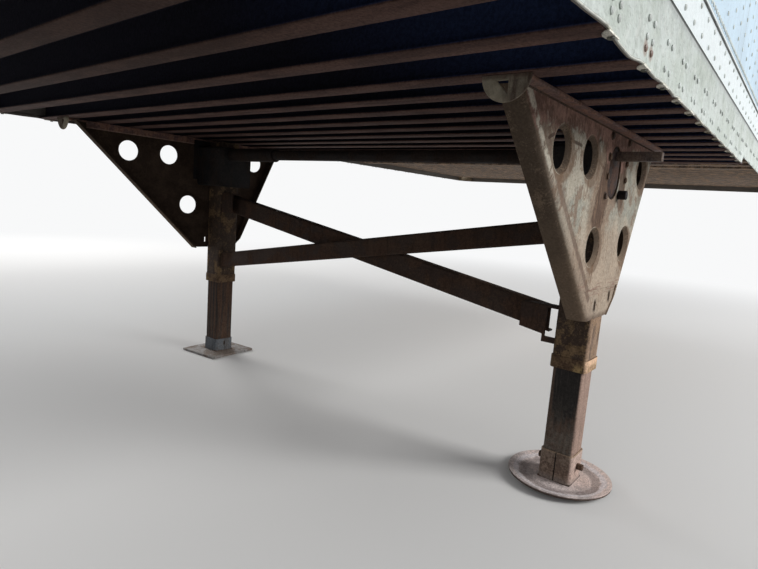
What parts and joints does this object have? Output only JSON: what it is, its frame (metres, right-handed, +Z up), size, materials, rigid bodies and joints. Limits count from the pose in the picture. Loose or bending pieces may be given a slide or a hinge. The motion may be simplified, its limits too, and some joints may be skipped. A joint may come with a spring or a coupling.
{
  "type": "semi trailer front underframe with landing gear",
  "caption": "Front underframe section of a semi trailer: rails, crossmembers, deck, coupler plate and kingpin, standing on its braced two-leg landing gear.",
  "frame": {"origin": "on the kingpin's axis, at the bearing face of the coupler plate", "axes": "+X to the trailer's nose, +Y to its left, +Z up"},
  "size_m": [4.734, 2.6, 1.72],
  "materials": {
    "white_paint": "weathered white paint",
    "rusty_beam": "dark paint gone to rust",
    "deck_wood": "dark oiled hardwood boards",
    "rusty_plate": "brown rusted plate",
    "kingpin_steel": "greasy worn steel",
    "rusty_angle": "red-brown primer and rust",
    "worn_grey_paint": "chalky grey paint with rust stains",
    "brown_tube": "brown rusted tube",
    "bare_tube": "dull bare steel tube",
    "dark_case": "greasy dark casting",
    "brace_steel": "dark brown rusted channel",
    "galvanised": "dull galvanised steel",
    "dusty_pad": "dusty worn steel"
  },
  "bodies": {
    "root": {"angle_end_tab_left": "worn_grey_paint", "angle_end_tab_right": "worn_grey_paint", "beam_clips_left": "white_paint", "beam_clips_right": "white_paint", "brace_front": "brace_steel", "brace_rear": "brace_steel", "bracket_high_left": "brace_steel", "bracket_low_right": "brace_steel", "corner_post_left": "white_paint", "corner_post_right": "white_paint", "coupler_plate": "rusty_plate", "coupler_ribs": "rusty_plate", "cover_lug": "dark_case", "cross_shaft": "brown_tube", "crossmembers_bay": "rusty_beam", "crossmembers_rear": "rusty_beam", "deck_boards": "deck_wood", "foot_pad_right": "dusty_pad", "foot_pin_left": "galvanised", "foot_pin_right": "bare_tube", "foot_plate_left": "galvanised", "front_channels": "rusty_plate", "front_panel": "white_paint", "front_rail": "white_paint", "gear_case_left": "dark_case", "gear_case_right": "dark_case", "gear_cover_left": "dark_case", "gear_cover_right": "dark_case", "inner_leg_left": "bare_tube", "inner_leg_right": "bare_tube", "input_shaft": "dark_case", "kingpin": "kingpin_steel", "leg_collar_left": "brown_tube", "leg_collar_right": "brown_tube", "mounting_angle_left": "rusty_angle", "mounting_angle_right": "rusty_angle", "outer_leg_left": "brown_tube", "outer_leg_right": "brown_tube", "rail_left": "white_paint", "rail_right": "white_paint", "shaft_sleeve": "brown_tube", "side_panel_left": "white_paint", "side_panel_right": "white_paint", "socket_left": "galvanised", "socket_right": "bare_tube", "wing_plate_left": "worn_grey_paint", "wing_plate_right": "worn_grey_paint"}
  },
  "joints": []
}
